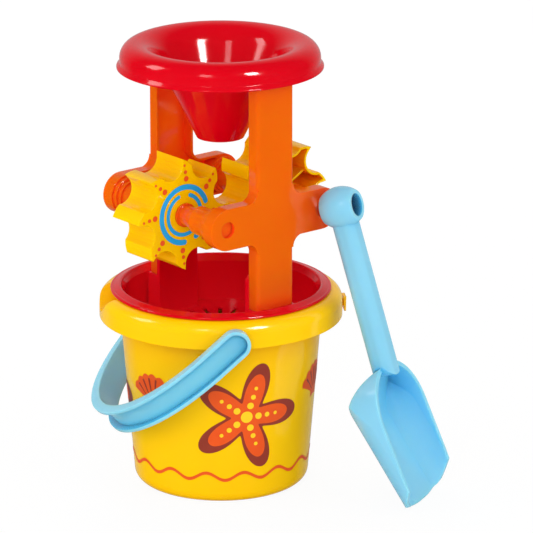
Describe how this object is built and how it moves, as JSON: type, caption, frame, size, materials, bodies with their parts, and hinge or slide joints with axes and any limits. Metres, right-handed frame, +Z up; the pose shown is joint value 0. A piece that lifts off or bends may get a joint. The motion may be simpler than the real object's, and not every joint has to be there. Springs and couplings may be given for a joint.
{
  "type": "sand wheel toy",
  "caption": "Beach toy: bucket with a swinging bail, a sieve dish in its rim carrying posts, hooked sand wheels and a funnel, with a shovel leaning on the mill.",
  "frame": {"origin": "centre of the bucket's underside, on the ground", "axes": "+Z up; X along the arms of the mill; Y along the axles, with the shovel on the -Y side"},
  "size_m": [0.2041, 0.2467, 0.312],
  "materials": {
    "yellow_plastic": "gloss",
    "red_plastic": "gloss",
    "orange_plastic": "gloss",
    "blue_plastic": "gloss"
  },
  "bodies": {
    "bucket": {"bucket": "yellow_plastic"},
    "bail": {"bail": "blue_plastic"},
    "mill": {"sieve_dish": "red_plastic", "front_post": "orange_plastic", "rear_post": "orange_plastic", "funnel": "red_plastic", "left_axle": "orange_plastic", "right_axle": "orange_plastic"},
    "left_wheel": {"left_wheel": "yellow_plastic"},
    "right_wheel": {"right_wheel": "yellow_plastic"},
    "shovel": {"shovel": "blue_plastic"}
  },
  "joints": [
    {"name": "bail_swing", "type": "hinge", "parent": "bucket", "child": "bail", "pos_m": [0, 0, 0.1243], "axis": [0.5299, 0.848, 0], "range_deg": [0, 75]},
    {"name": "mill_lift", "type": "slide", "parent": "bucket", "child": "mill", "axis": [0, 0, 1], "range_m": [0, 0.04]},
    {"name": "left_wheel_spin", "type": "hinge", "parent": "mill", "child": "left_wheel", "pos_m": [-0.0413, 0, 0.2], "axis": [0, 1, 0], "continuous": true},
    {"name": "right_wheel_spin", "type": "hinge", "parent": "mill", "child": "right_wheel", "pos_m": [0.0413, 0, 0.2], "axis": [0, 1, 0], "continuous": true},
    {"name": "shovel_lift", "type": "slide", "parent": "bucket", "child": "shovel", "axis": [0.27, -0.5299, 0.8039], "range_m": [0, 0.12]}
  ]
}
